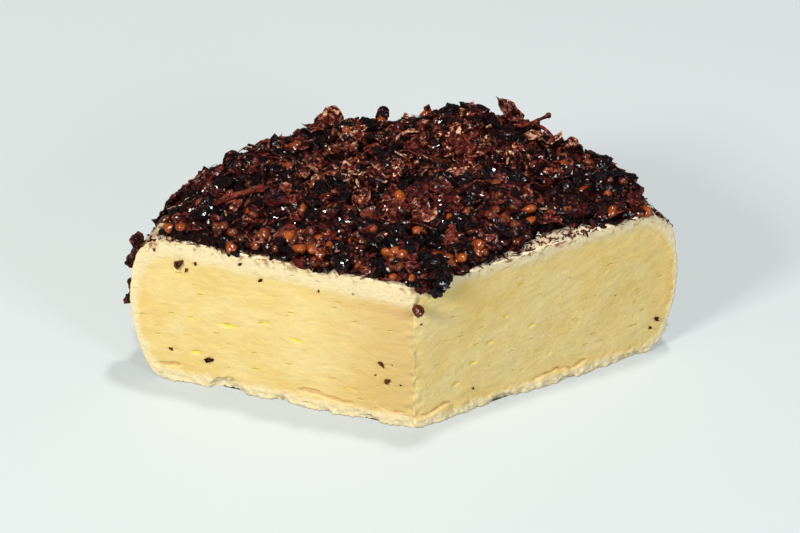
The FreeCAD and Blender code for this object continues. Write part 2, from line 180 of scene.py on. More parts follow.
class Nodes:
    """Short ways to add shader nodes to a material. Colours run from 0 to 255."""

    def __init__(self, name):
        self.material = bpy.data.materials.new(name)
        self.material.use_nodes = True
        self.tree = self.material.node_tree
        self.shader = self.tree.nodes["Principled BSDF"]
        self.coordinates = self.node("TexCoord", {}, "Object")

    def link(self, source, target):
        """Feeds an input from a node's output, or sets it to a plain value."""
        if isinstance(source, bpy.types.NodeSocket):
            self.tree.links.new(source, target)
        else:
            target.default_value = source

    def node(self, kind, inputs, output=0, **settings):
        """An output of a new node, whose inputs are given by name or number."""
        node = self.tree.nodes.new("ShaderNode" + kind)
        for key, value in settings.items():
            setattr(node, key, value)
        for key, value in inputs.items():
            self.link(value, node.inputs[key])
        return node.outputs[output]

    def axis(self, name):
        """Metres to the right of the middle (X) or above the floor (Z)."""
        return self.node("SeparateXYZ", {0: self.coordinates}, name)

    def attribute(self, name):
        return self.node("Attribute", {}, "Fac", attribute_name=name)

    def noise(self, size, detail=3.0, roughness=0.6, coordinates=None):
        """Noise whose features are about size millimetres across."""
        inputs = {"Vector": coordinates or self.coordinates, "Scale": 1 / (size * MM)}
        inputs.update(Detail=detail, Roughness=roughness)
        return self.node("TexNoise", inputs, "Fac")

    def stretched(self, scale):
        """Object coordinates, scaled along each axis."""
        return self.node("Mapping", {"Vector": self.coordinates, "Scale": scale}, "Vector")

    def cells(self, size, coordinates, randomness=1.0):
        """The distance to the nearest middle of cells that are size millimetres apart."""
        inputs = {"Vector": coordinates, "Scale": 1 / (size * MM), "Randomness": randomness}
        return self.node("TexVoronoi", inputs, "Distance")

    def math(self, operation, *values):
        """Values combined one after the other."""
        total, *others = values
        for value in others:
            total = self.node("Math", {0: total, 1: value}, operation=operation)
        return total

    def plus(self, *values):
        return self.math("ADD", *values)

    def times(self, *values):
        return self.math("MULTIPLY", *values)

    def remap(self, value, low, high, to_low=0.0, to_high=1.0):
        """The value's range from low to high, mapped smoothly and clamped."""
        inputs = dict(enumerate((value, low, high, to_low, to_high)))
        return self.node("MapRange", inputs, interpolation_type="SMOOTHSTEP")

    def ramp(self, value, *stops):
        """A colour ramp of (position, colour) stops."""
        node = self.tree.nodes.new("ShaderNodeValToRGB")
        elements = node.color_ramp.elements
        while len(elements) < len(stops):
            elements.new(0.5)
        for element, (position, colour) in zip(elements, stops):
            element.position = position
            element.color = srgb(*colour)
        self.link(value, node.inputs[0])
        return node.outputs["Color"]

    def mix(self, share, low, high):
        """A mix of a colour and a second one, whose part is share."""
        if isinstance(high, tuple):
            high = srgb(*high)
        return self.node("Mix", {"Factor": share, "A": low, "B": high}, "Result", data_type="RGBA")

    def bump(self, height, depth, strength=1.0):
        """A bump whose height of 0 to 1 stands for depth millimetres."""
        inputs = {"Distance": depth * MM, "Strength": strength, "Height": height}
        return self.node("Bump", inputs, "Normal")

    def finish(self, **inputs):
        """The material, once its shader's inputs are set."""
        for name, value in inputs.items():
            self.link(value, self.shader.inputs[name.replace("_", " ")])
        return self.material


# ---- the wheel's section


class Section:
    """The wheel's half section: base, foot, side, shoulder and top, by length along it."""

    def __init__(self):
        side_r = RADIUS - SIDE_CURVE
        foot_r = side_r + math.sqrt((SIDE_CURVE - FOOT) ** 2 - (GIRTH - FOOT) ** 2)
        rise = HEIGHT - SHOULDER - GIRTH
        shoulder_r = side_r + math.sqrt((SIDE_CURVE - SHOULDER) ** 2 - rise**2)
        low = math.atan2(FOOT - GIRTH, foot_r - side_r)
        high = math.atan2(rise, shoulder_r - side_r)
        quarter = math.pi / 2
        arcs = (
            (foot_r, FOOT, FOOT, -quarter, low),
            (side_r, GIRTH, SIDE_CURVE, low, high),
            (shoulder_r, HEIGHT - SHOULDER, SHOULDER, high, quarter),
        )
        pieces = [rows(foot_r * np.linspace(0, 1, 200), 0.0, 0.0, -1.0)]
        for r, z, size, start, end in arcs:
            angles = np.linspace(start, end, 120)
            cosine, sine = np.cos(angles), np.sin(angles)
            pieces.append(rows(r + size * cosine, z + size * sine, cosine, sine))
        pieces.append(rows(shoulder_r * np.linspace(1, 0, 200), HEIGHT, 0.0, 1.0))
        table = np.concatenate(pieces)
        # the pieces meet in the same point, which is kept once
        steps = np.hypot(*np.diff(table[:, :2], axis=0).T)
        self.table = table[chain(True, steps > 1e-6)]
        steps = np.hypot(*np.diff(self.table[:, :2], axis=0).T)
        self.lengths = chain(0.0, np.cumsum(steps))
        self.total = self.lengths[-1]
        self.foot_middle = foot_r + FOOT * quarter / 2
        self.shoulder_middle = self.total - shoulder_r - SHOULDER * quarter / 2
        self.foot_start = foot_r

    def at(self, length):
        """Distance from the axis, height and outward normal at lengths along the section."""
        radius, height, out, up = (np.interp(length, self.lengths, c) for c in self.table.T)
        size = np.hypot(out, up)
        return radius, height, out / size, up / size


section = Section()


# ---- the cheese

# Openings on each cut: distance from the tip, height, length, width, tilt in degrees, depth.
LEFT_EYES = (
    (65.5, 28.3, 9.0, 1.3, 3, 0.55), (41.5, 28.0, 5.0, 1.8, 16, 0.7), (78.3, 28.4, 2.8, 1.2, 0, 0.5),
    (77.3, 14.1, 3.6, 1.4, -12, 0.9), (52.0, 33.0, 3.2, 1.0, 6, 0.5), (36.0, 38.0, 2.2, 0.9, 8, 0.4),
    (31.0, 19.5, 2.6, 1.0, 14, 0.5), (24.0, 31.0, 2.0, 0.9, 4, 0.4), (11.6, 25.5, 2.6, 1.0, -6, 0.5),
    (9.1, 18.2, 2.6, 1.3, -4, 0.7), (22.0, 12.0, 3.4, 1.1, 12, 0.5), (88.0, 41.0, 1.8, 0.8, 10, 0.4),
)
RIGHT_EYES = (
    (44.0, 28.8, 3.0, 1.2, 12, 0.6), (28.3, 26.7, 3.0, 1.2, 14, 0.6), (21.9, 20.4, 3.2, 1.3, 10, 0.7),
    (15.5, 13.4, 3.2, 1.3, 14, 0.7), (62.0, 24.0, 2.6, 1.0, 18, 0.5), (34.0, 36.0, 2.2, 1.0, 20, 0.4),
    (54.0, 37.0, 2.0, 0.9, 12, 0.4), (12.0, 33.0, 2.0, 0.9, 26, 0.4), (72.0, 42.0, 1.8, 0.9, 10, 0.4),
    (51.0, 14.0, 2.4, 0.9, 12, 0.4), (80.0, 20.0, 2.0, 0.9, 6, 0.4),
)
# Cracks in the lip along the foot of each cut: start, end, height, depth.
LEFT_CRACKS = ((82.8, 93.5, 6.2, 1.0), (21.4, 41.0, 6.6, 1.3), (3.0, 12.0, 5.5, 0.9))
RIGHT_CRACKS = ((2.5, 14.0, 5.6, 1.3), (46.0, 66.0, 5.4, 1.0))
# Bites out of the lower edge: distance from the tip, half length, height, depth.
LEFT_BITES = ((66.0, 6.5, 5.5, 2.6), (47.0, 3.0, 2.4, 1.2), (16.0, 4.0, 2.2, 1.2))
RIGHT_BITES = ((33.0, 5.0, 2.6, 1.6), (58.0, 3.5, 2.0, 1.2), (84.0, 4.0, 2.2, 1.2))


def coons_patch(columns, rises):
    """Points (distance from the axis, height) over the section, from its four sides."""
    across = np.linspace(0, 1, columns + 1)[:, None, None]
    up = np.linspace(0, 1, rises + 1)[None, :, None]

    def side(start, end, count):
        return rows(*section.at(np.linspace(start, end, count + 1))[:2])

    bottom = side(0, section.foot_middle, columns)[:, None]
    top = side(section.total, section.shoulder_middle, columns)[:, None]
    axis = rows(0.0, np.linspace(0, HEIGHT, rises + 1))[None]
    outer = side(section.foot_middle, section.shoulder_middle, rises)[None]
    corners = (
        (1 - across) * (1 - up) * bottom[0, 0] + across * (1 - up) * bottom[-1, 0]
        + (1 - across) * up * top[0, 0] + across * up * top[-1, 0]
    )
    return (1 - up) * bottom + up * top + (1 - across) * axis + across * outer - corners


def cut_relief(from_tip, height, eyes, cracks, bites, seed):
    """How far a cut's surface stands out, and how deep into an opening each point is."""
    flat = rows(from_tip, height, 0.0)

    def noise(size, layer, points=flat):
        return smooth_noise(points, size, seed + layer)

    relief = 0.22 * noise(14, 0) + 0.09 * noise(3.2, 1) + 0.035 * noise(1.1, 2)
    depth = np.zeros(len(flat))
    wander = 0.22 * noise(0.9, 3)
    for middle, up, length, width, tilt, deep in eyes:
        turn = math.radians(tilt)
        along = (from_tip - middle) * math.cos(turn) + (height - up) * math.sin(turn)
        across = (height - up) * math.cos(turn) - (from_tip - middle) * math.sin(turn)
        inside = 1 - (2 * along / length) ** 2 - (2 * (across + wander) / width) ** 2
        depth = np.maximum(depth, deep * np.clip(inside, 0, 1) ** 0.6)
    crumble = noise(2.0, 4)
    for start, end, up, deep in cracks:
        line = up + 1.5 * noise(5.5, 5, flat * [1, 0, 0]) + 0.6 * crumble
        ends = smooth_step(start - 1, start + 2, from_tip) - smooth_step(end - 2, end + 1, from_tip)
        groove = np.exp(-(((height - line) / 0.36) ** 2)) * np.clip(0.75 + 0.6 * crumble, 0, 1)
        depth = np.maximum(depth, deep * ends * groove)
        relief += 0.55 * ends * smooth_step(line + 0.4, line - 0.8, height)
    for middle, reach, up, deep in bites:
        hollow = 1 - ((from_tip - middle) / reach) ** 2 - (height / up) ** 2 + 0.35 * crumble
        relief -= deep * np.clip(hollow, 0, 1) ** 0.7
    relief += 0.5 * crumble * np.clip(1 - height / 5, 0, 1)
    tip = np.clip(1 - from_tip / 4.0, 0, 1)
    relief += tip * (0.55 * crumble + 0.16 * noise(1.3, 6) - 0.3)
    torn = smooth_step(6.0, 1.0, height + 1.5 * noise(4.0, 7))
    relief += 0.4 * torn * noise(1.0, 8)
    return relief - depth, depth


def make_cheese(coat, material):
    """The paste and its rind as one closed mesh: two cuts and the wheel's skin."""
    columns, rises, turns = 190, 116, 96
    touching, farthest = 0.001, 12.0
    patch = coons_patch(columns, rises).reshape(-1, 2)
    loop_lengths = chain(
        np.linspace(0, section.foot_middle, columns + 1),
        np.linspace(section.foot_middle, section.shoulder_middle, rises + 1)[1:],
        np.linspace(section.shoulder_middle, section.total, columns + 1)[1:],
    )
    loop_r, loop_z, loop_out, loop_up = section.at(loop_lengths)
    azimuths = np.linspace(-HALF_ANGLE, HALF_ANGLE, turns + 1)
    shell = on_wheel(loop_r[:, None], azimuths, loop_z[:, None]).reshape(-1, 3)
    shell_normals = sphere_way(loop_out[:, None], azimuths, loop_up[:, None]).reshape(-1, 3)
    shell_stain = coat.stain(loop_lengths[:, None], azimuths).ravel()
    cuts = [on_wheel(patch[:, 0], side * HALF_ANGLE, patch[:, 1]) for side in (-1, 1)]
    left_faces = grid_faces(columns + 1, rises + 1)
    right_faces = left_faces[:, ::-1] + len(patch)
    shell_faces = grid_faces(len(loop_lengths), turns + 1)[:, ::-1] + 2 * len(patch)
    points = np.concatenate([*cuts, shell])
    faces = np.concatenate([left_faces, right_faces, shell_faces])
    # vertices that the cuts share with the skin are merged and keep its values
    rounded = np.round(points, 4)
    _, first, merged = np.unique(rounded, axis=0, return_index=True, return_inverse=True)
    merged = merged.ravel()
    points, faces = points[first], merged[faces]
    on_shell = merged[2 * len(patch):]
    way, stain = np.zeros((len(points), 3)), np.zeros(len(points))
    way[on_shell], stain[on_shell] = shell_normals, shell_stain

    flat_x, flat_y, height = (points - [AXIS_X, AXIS_Y, 0]).T
    from_axis = np.hypot(flat_x, flat_y)
    offset = np.zeros_like(points)
    pit, left, edge_distance = np.zeros((3, len(points)))
    outline = rows(loop_r, loop_z)[1:-1]
    sides = (
        (-1, LEFT_EYES, LEFT_CRACKS, LEFT_BITES, 11),
        (1, RIGHT_EYES, RIGHT_CRACKS, RIGHT_BITES, 31),
    )
    for side, eyes, cracks, bites, seed in sides:
        normal = cut_normal(side)
        away = flat_x * normal[0] + flat_y * normal[1]
        on_cut = np.abs(away) < touching
        along, up = from_axis[on_cut], height[on_cut]
        relief, depth = cut_relief(along, up, eyes, cracks, bites, seed)
        # both cuts move the tip's edge, each by half
        relief *= np.where(along < touching, 0.5, 1.0)
        offset[on_cut] += normal * relief[:, None]
        pit[on_cut] = np.maximum(pit[on_cut], depth)
        left[on_cut] = side < 0
        nearest = np.full(len(along), farthest)
        for r, z in outline:
            nearest = np.minimum(nearest, np.hypot(along - r, up - z))
        edge_distance[on_cut] = np.maximum(edge_distance[on_cut], nearest)
    rough = 0.22 * layered_noise(points, 5.0, 51) + 0.16 * smooth_noise(points, 1.6, 55)
    lift = smooth_step(0.2, 3.0, height)
    offset += way * (rough * lift)[:, None]
    make_piece(
        "cheese_body", points + offset, faces, material, "cheese", ["cheese"],
        edge_distance=edge_distance, pit=pit, left=left, stain=stain,
    )


def cheese_material():
    """Pale yellow paste, whiter and fluffier towards the rind, with small slits."""
    n = Nodes("cheese")
    edge, pit, stain = n.attribute("edge_distance"), n.attribute("pit"), n.attribute("stain")
    left, x, z = n.attribute("left"), n.axis("X"), n.axis("Z")

    mottle = n.noise(8, detail=2)
    paste = n.ramp(n.noise(26, detail=2), (0.32, (224, 194, 116)), (0.68, (230, 206, 142)))
    paste = n.mix(n.remap(mottle, 0.42, 0.66, 0, 0.4), paste, (233, 213, 156))

    # painted shade: the left cut is drawn a little darker towards the tip, where the key's light
    # falls off
    painted_tip_shade = n.times(left, n.remap(x, -0.036, 0.0, 0, 0.74))
    paste = n.mix(painted_tip_shade, paste, (206, 174, 112))

    # small slits lie nearly level, so their cells are stretched sideways
    slits = n.cells(2.4, n.stretched((0.34, 0.34, 1.0)))
    slit = n.times(n.remap(slits, 0.08, 0.2, 1, 0), n.remap(n.noise(7, detail=1), 0.5, 0.58))
    paste = n.mix(n.times(slit, 0.8), paste, (236, 206, 88))
    # the eyes are golden inside; the cracks along the foot are brown, partly their own colour and
    # partly painted shade that deepens with the groove
    eye_gold_and_crack_shade = n.ramp(z, (0.0095, (196, 154, 100)), (0.012, (238, 208, 80)))
    paste = n.mix(n.remap(pit, 0.06, 0.4, 0, 0.92), paste, eye_gold_and_crack_shade)

    # a pale band inside the rind, broad at the top and broadest beside the tip on the left
    widest = n.plus(4.4, n.times(left, n.remap(x, -0.05, -0.005, 4.4, 7.6)))
    narrowest = n.plus(0.9, n.times(left, 1.9))
    top = n.remap(z, (HEIGHT - 18) * MM, (HEIGHT - 4) * MM, narrowest, widest)
    foot = n.remap(z, 1 * MM, 11 * MM, 3.4, 0)
    band = n.plus(top, foot, n.remap(n.noise(6, detail=4), 0.3, 0.7, -0.8, 1.4))
    share = n.math("DIVIDE", edge, band)
    rind = n.remap(share, 0.45, 1.3, 1, 0)
    fluff = n.noise(1.3, detail=5, roughness=0.7)
    pale = n.ramp(fluff, (0.3, (230, 207, 162)), (0.65, (242, 226, 184)))
    yellowing = n.times(
        n.remap(edge, 2.0, 14.0, 0.45, 0), n.remap(z, 0.056, 0.046), n.remap(left, 0, 1, 1, 0.2)
    )
    paste = n.mix(yellowing, paste, (238, 198, 116))
    colour = n.mix(rind, paste, pale)
    # a curved brown line under the band beside the tip, on the left cut
    brown_line_by_tip = n.times(
        n.remap(share, 1.0, 1.5), n.remap(share, 1.6, 2.7, 1, 0),
        n.remap(x, -0.030, -0.004, 0, 0.5), n.times(left, n.remap(z, 0.038, 0.046)),
    )
    colour = n.mix(brown_line_by_tip, colour, (206, 164, 112))
    # marc smeared by the knife leaves brown crumbs just under the coat
    smear = n.times(n.remap(edge, 0.3, 4.6, 1, 0), n.remap(z, 0.050, 0.057))
    spots = n.remap(n.noise(3.6, detail=6, roughness=0.75), 0.5, 0.6)
    colour = n.mix(n.times(smear, spots), colour, (150, 98, 62))
    colour = n.mix(n.remap(edge, 0.0, 0.02, 1, 0), colour, outside_rind(n, stain, fluff))

    dents = n.times(n.noise(2.6, detail=2, coordinates=n.stretched((0.6, 0.6, 1.0))), 1.1)
    relief = n.plus(n.times(n.noise(0.9, detail=4), 0.16), n.times(fluff, rind), dents)
    relief = n.math("SUBTRACT", relief, n.times(slit, 0.9))
    return n.finish(
        Base_Color=colour,
        Roughness=n.remap(mottle, 0.3, 0.7, 0.4, 0.52),
        Normal=n.bump(relief, 0.45, 0.9),
        Subsurface_Weight=0.2,
        Subsurface_Radius=(0.0030, 0.0019, 0.0008),
        Subsurface_Scale=1.0,
        Specular_IOR_Level=0.3,
    )


def outside_rind(n, stain, fluff):
    """The bare rind: cream with a cloth's imprint, white bloom, mould and marc's stains."""
    colour = n.ramp(n.noise(9, detail=4), (0.35, (238, 218, 176)), (0.68, (204, 172, 124)))
    mould = n.remap(n.noise(15, detail=4), 0.5, 0.62, 0, 0.75)
    colour = n.mix(mould, colour, (146, 122, 98))
    weave = n.cells(0.9, n.stretched((1.0, 1.0, 0.8)), randomness=0.35)
    colour = n.mix(n.remap(weave, 0.3, 0.6, 0, 0.4), colour, (150, 116, 80))
    bloom = n.times(n.remap(n.noise(7, detail=3), 0.5, 0.62), n.remap(fluff, 0.4, 0.6))
    bloom = n.math("MAXIMUM", bloom, n.remap(n.axis("Z"), *TOP_FACE, 0, 0.3))
    colour = n.mix(bloom, colour, (240, 230, 212))
    spots = n.remap(n.noise(2.2, detail=5, roughness=0.75), 0.44, 0.6)
    return n.mix(n.times(n.remap(stain, 0.08, 0.7), spots), colour, (112, 66, 44))


# ---- the coat of marc


def coat_mesh():
    """The CAD coat as a search tree, in millimetres."""
    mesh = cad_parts["marc_coat"].data
    mesh.calc_loop_triangles()
    points = [vertex.co / MM for vertex in mesh.vertices]
    triangles = [tuple(t.vertices) for t in mesh.loop_triangles]
    return BVHTree.FromPolygons(points, triangles)


class Coat:
    """The marc's outer surface as a grid over the wheel, with its thickness."""

    SPACING = 1.15  # between the grid's points
    REACH = 14.0  # how far out of the wheel the rays towards it start
    INSET = 0.8  # between the grid and the cuts
    FOOT_GAP, AXIS_GAP = 3.0, 1.6  # between the grid and the flat base, and the axis

    def __init__(self):
        tree = coat_mesh()
        start, end = section.foot_start + self.FOOT_GAP, section.total - self.AXIS_GAP
        self.lengths = np.arange(start, end, self.SPACING)
        self.radius, height, out, self.up = section.at(self.lengths)
        self.limits = HALF_ANGLE - np.arcsin(self.INSET / self.radius)
        shares = np.linspace(-1, 1, round(2 * HALF_ANGLE * RADIUS / self.SPACING))
        self.azimuths = self.limits[:, None] * shares
        self.ground = on_wheel(self.radius[:, None], self.azimuths, height[:, None])
        self.normals = sphere_way(out[:, None], self.azimuths, self.up[:, None])
        self.thickness = np.zeros(self.azimuths.shape)
        starts = self.ground + self.normals * self.REACH
        for i, j in np.ndindex(self.thickness.shape):
            way = Vector(-self.normals[i, j])
            *_, distance = tree.ray_cast(Vector(starts[i, j]), way, self.REACH + 0.05)
            if distance is not None:
                self.thickness[i, j] = self.REACH - distance
        self.to_cut = self.radius[:, None] * np.sin(HALF_ANGLE - np.abs(self.azimuths))
        self.thickness *= self.knife_edge()
        self.covered = smooth_step(0.6, 1.6, self.thickness)

    def knife_edge(self):
        """The share of marc left beside the cuts: less on the right and on the rounded side."""
        wander = layered_noise(self.ground, 9, 61)
        along = self.radius[:, None]
        right = self.azimuths > 0
        bare = np.where(right, 2.0 * smooth_step(14, 30, along), 1.0)
        bare = bare + (0.7 + 1.6 * right * smooth_step(14, 30, along)) * wander
        # the right cut's bare strip is widest 46 mm from the tip
        bare = bare + np.where(right, 3.4 * np.exp(-(((along - 46) / 13) ** 2)), 0.0)
        side = smooth_step(0.99, 0.8, self.up)[:, None]
        patchy = layered_noise(self.ground, 22, 67)
        bare = np.maximum(bare, side * (19 + 3 * wander + 11 * patchy))
        return smooth_step(bare - 0.4, bare + 0.6, self.to_cut)

    def stain(self, length, azimuth):
        """How much marc lies near places given by length along the section and azimuth."""
        blurred = self.covered
        for _ in range(3):
            padded = np.pad(blurred, 1, mode="edge")
            sides = padded[:-2, 1:-1] + padded[2:, 1:-1] + padded[1:-1, :-2] + padded[1:-1, 2:]
            blurred = (blurred + sides) / 5
        i = np.clip(np.searchsorted(self.lengths, length), 0, len(self.lengths) - 1)
        share = azimuth / self.limits[i]
        last = blurred.shape[1] - 1
        j = np.clip(np.rint((share + 1) / 2 * last), 0, last).astype(int)
        return np.where(length < self.lengths[0], 0, blurred[i, j])


def make_core(coat, material):
    """The dark, finely crumbled bed under the loose pieces."""
    grit = layered_noise(coat.ground, 3.4, 71) + 0.6 * smooth_noise(coat.ground, 1.7, 79)
    marc = coat.covered > 0.3
    # below the marc's top, inside bare rind, least height, and depth below the rind
    sunk, buried, least, depth = 1.7, -0.8, 0.25, 1.4
    height = np.where(marc, coat.thickness - sunk + 0.5 * grit, buried)
    height = np.where(marc, np.maximum(height, least + 0.2 * grit), height)
    top = coat.ground + coat.normals * height[..., None]
    bed = coat.ground - coat.normals * depth
    count = grit.size
    grid = grid_faces(*grit.shape)
    index = np.arange(count).reshape(grit.shape)
    edge = chain(index[0, :], index[1:, -1], index[-1, -2::-1], index[-2:0:-1, 0])
    following = np.roll(edge, -1)
    wall = rows(edge, following, following + count, edge + count)
    faces = np.concatenate([grid[:, ::-1], grid + count, wall])
    points = np.concatenate([top.reshape(-1, 3), bed.reshape(-1, 3)])
    make_piece("marc_core", points, faces, material, "marc", ["marc_coat"])


# ---- shapes of the loose pieces

# Each shape is (points, faces, edge): edge is 0 to 1 for each point, for the colours.


def fan_faces(middle, first, sectors):
    """Triangles from one vertex to a ring of vertices numbered from first."""
    return [(middle, first + k, first + (k + 1) % sectors) for k in range(sectors)]


def ring_faces(first, rings, sectors):
    """Triangles between rings of vertices, numbered ring after ring from first."""
    faces = []
    for near in range(first, first + (rings - 1) * sectors, sectors):
        far = near + sectors
        for a in range(sectors):
            b = (a + 1) % sectors
            faces += [(near + a, far + a, far + b), (near + a, far + b, near + b)]
    return faces


def ball_faces(rings, sectors):
    """Triangles of a closed shape: a first vertex, rings of vertices and a last vertex."""
    last = 1 + (rings - 1) * sectors
    end = [face[::-1] for face in fan_faces(last + sectors, last, sectors)]
    return np.array(fan_faces(0, 1, sectors) + ring_faces(1, rings, sectors) + end)


def flake_shape(
    chance, rings=4, sectors=12, curl=0.3, wrinkle=0.12, thickness=0.16, ragged=0.18, taper=0.3,
    wide=(0.55, 0.9),
):
    """A grape skin of radius 1: a thin, crumpled, closed sheet with a ragged outline."""
    turns = np.arange(sectors) * 2 * math.pi / sectors
    outline = 1 + sum(
        ragged / k**0.5 * np.sin(k * turns + chance.uniform(0, 6.3)) * chance.uniform(0.3, 1)
        for k in (2, 3, 4, 5)
    )
    shares = np.arange(1, rings + 1) / rings
    reach = shares[:, None] * outline[None]
    x = chain(0, reach * np.cos(turns))
    y = chain(0, reach * np.sin(turns)) * chance.uniform(*wide)
    y = y * (1 - taper * np.clip(0.5 + 0.5 * x, 0, 1))
    share = chain(0, np.repeat(shares, sectors))
    z = curl * (chance.uniform(0.4, 1.2) * x**2 + chance.uniform(-0.8, 0.3) * y**2)
    z = z * chance.choice((1, -1, -1))
    for _ in range(4):
        heading, size = chance.uniform(0, 6.3), chance.uniform(3.0, 8.0)
        across = x * math.cos(heading) + y * math.sin(heading)
        wave = np.abs(np.sin(0.5 * across * size + chance.uniform(0, 6.3))) - 0.5
        z = z + 1.5 * wrinkle * chance.uniform(0.4, 1) * wave
    z = z + 0.7 * wrinkle * chance.uniform(-1, 1, len(z))
    z = z + curl * share**4 * 0.6 * np.sin(2 * chain(0, np.tile(turns, rings)))
    half = 0.5 * thickness * (1 - share**3)
    top = rows(x, y, z + half)
    inner = len(x) - sectors
    bottom = rows(x, y, z - half)[:inner]
    upper = np.array(fan_faces(0, 1, sectors) + ring_faces(1, rings, sectors))
    # the underside has its own vertices, but shares the outer ring with the top
    number = chain(len(top) + np.arange(inner), np.arange(inner, len(top)))
    lower = number[upper][:, ::-1]
    points, faces = np.concatenate([top, bottom]), np.concatenate([upper, lower])
    return points, faces, chain(share, share[:inner])


def lump_shape(chance, rings=8, sectors=11, wrinkle=0.28, flat=0.36):
    """A shrivelled berry skin of radius 1: a closed, creased, flattened ball."""
    tilts = np.pi * np.arange(1, rings) / rings
    turns = np.arange(sectors) * 2 * math.pi / sectors
    x = chain(0, np.outer(np.sin(tilts), np.cos(turns)), 0)
    y = chain(0, np.outer(np.sin(tilts), np.sin(turns)), 0)
    points = rows(x, y, chain(1, np.repeat(np.cos(tilts), sectors), -1))
    crease = sum(
        np.abs(np.sin(points @ chance.uniform(-4.2, 4.2, 3) + chance.uniform(0, 6.3)))
        for _ in range(3)
    ) / 3
    size = 1 - wrinkle + 2 * wrinkle * crease + 0.08 * chance.uniform(-1, 1, len(points))
    points = points * size[:, None] * [1, chance.uniform(0.5, 0.85), flat]
    fold = chance.uniform(-0.5, 0.5, 2)
    points[:, 2] += fold[0] * points[:, 0] ** 2 + fold[1] * np.abs(points[:, 1])
    return points, ball_faces(rings - 1, sectors), 1 - crease


def pip_shape(chance, rings=7, sectors=9):
    """A grape pip of half length 1 along x: pear-shaped, with a groove on one side."""
    shares = np.linspace(0, 1, rings + 1)[1:-1]
    turns = np.arange(sectors) * 2 * math.pi / sectors
    width = 0.82 * np.sin(np.pi * shares**0.74) ** 0.7 * (1 - 0.36 * shares)
    groove = 1 - 0.16 * np.exp(-(((turns - math.pi / 2) / 0.45) ** 2))
    y = np.outer(width, np.cos(turns) * groove)
    z = np.outer(width * 0.8, np.sin(turns) * groove)
    x = np.repeat(2 * shares - 1, sectors)
    points = rows(chain(-1, x, 1), chain(0, y, 0), chain(0, z, 0))
    points = points * (1 + 0.04 * chance.uniform(-1, 1, points.shape))
    faces = ball_faces(rings - 1, sectors)[:, [0, 2, 1]]
    return points, faces, chain(0, np.repeat(shares, sectors), 1)


def shred_shape(chance, steps=7, sectors=5, thin=0.14):
    """A shred of stalk of half length 1 along x: bent, ribbed and split at its ends."""
    t = np.linspace(-1, 1, steps)
    bend, wave = chance.uniform(-0.35, 0.35), chance.uniform(0, 6.3)
    across, rise = bend * t**2 + 0.06 * np.sin(4 * t + wave), 0.12 * np.sin(3 * t + wave)
    turns = np.arange(sectors) * 2 * math.pi / sectors
    width = thin * (1 - 0.45 * np.abs(t) ** 3) * chance.uniform(0.7, 1.2, steps)
    ring_y = np.outer(width, np.cos(turns) * chance.uniform(0.8, 1.2, sectors))
    ring_z = np.outer(width * 0.6, np.sin(turns))
    middle = rows(t, across, rise)
    rings = middle[:, None] + rows(0.0, ring_y, ring_z)
    ends = middle[[0, -1]] + [[-thin, 0, 0], [thin, 0, 0]]
    points = np.concatenate([rings.reshape(-1, 3), ends])
    start = steps * sectors
    inward = ring_faces(0, steps, sectors) + fan_faces(start, 0, sectors)
    faces = [(a, c, b) for a, b, c in inward] + fan_faces(start + 1, start - sectors, sectors)
    return points, np.array(faces), chain(np.repeat(np.abs(t), sectors), 1, 1)


def crumb_shape(chance):
    """A crumb of radius 1: a shaken octahedron."""
    points = np.array(
        [[1, 0, 0], [-1, 0, 0], [0, 1, 0], [0, -1, 0], [0, 0, 0.7], [0, 0, -0.7]], float
    )
    points = points * chance.uniform(0.6, 1.25, points.shape)
    points = points + chance.uniform(-0.2, 0.2, points.shape)
    around = (0, 2, 1, 3)
    pairs = list(zip(around, around[1:] + around[:1]))
    faces = [(a, b, 4) for a, b in pairs] + [(b, a, 5) for a, b in pairs]
    return points, np.array(faces), np.zeros(len(points))


# ---- scattering

# The least height of a loose piece over the floor, and of its middle over the bare wheel.
FLOOR_GAP, LEAST_RISE = 0.15, 0.35


class Scatter:
    """Many copies of a few shapes, joined in one mesh."""

    def __init__(self, chance, shapes):
        self.chance, self.shapes = chance, shapes
        self.copies, self.count = [], 0

    def add(self, position, normal, size, dry_and_highlight, tilt, heading=None, light=1.0):
        """One copy: its middle, the way it faces, its half length, dryness and lightness; dryness
        also brings painted highlights, and kind lowers the lightness of deep pieces as painted shade.
        """
        shape, faces, edge = self.shapes[self.chance.integers(len(self.shapes))]
        normal = unit(normal + 1.7 * tilt * self.chance.uniform(-1, 1, 3))
        along = self.chance.normal(0, 1, 3) if heading is None else heading
        along = unit(along - normal * (along @ normal))
        axes = np.stack([along, np.cross(normal, along), normal]) * size
        points = shape @ axes + position
        points[:, 2] += max(0.0, FLOOR_GAP - points[:, 2].min())
        tint, dry_and_highlight = np.full((2, len(shape)), [[light * self.chance.uniform(0, 1)], [dry_and_highlight]])
        self.copies.append((points, faces + self.count, tint, dry_and_highlight, edge))
        self.count += len(shape)

    def piece(self, name, material, slot, replaced=(), **others):
        """The joined mesh; others replace the copies' own attributes."""
        points, faces, tint, dry_and_highlight, edge = map(np.concatenate, zip(*self.copies))
        values = {"tint": tint, "dry_and_highlight": dry_and_highlight, "edge": edge} | others
        return make_piece(name, points, faces, material, slot, replaced, **values)


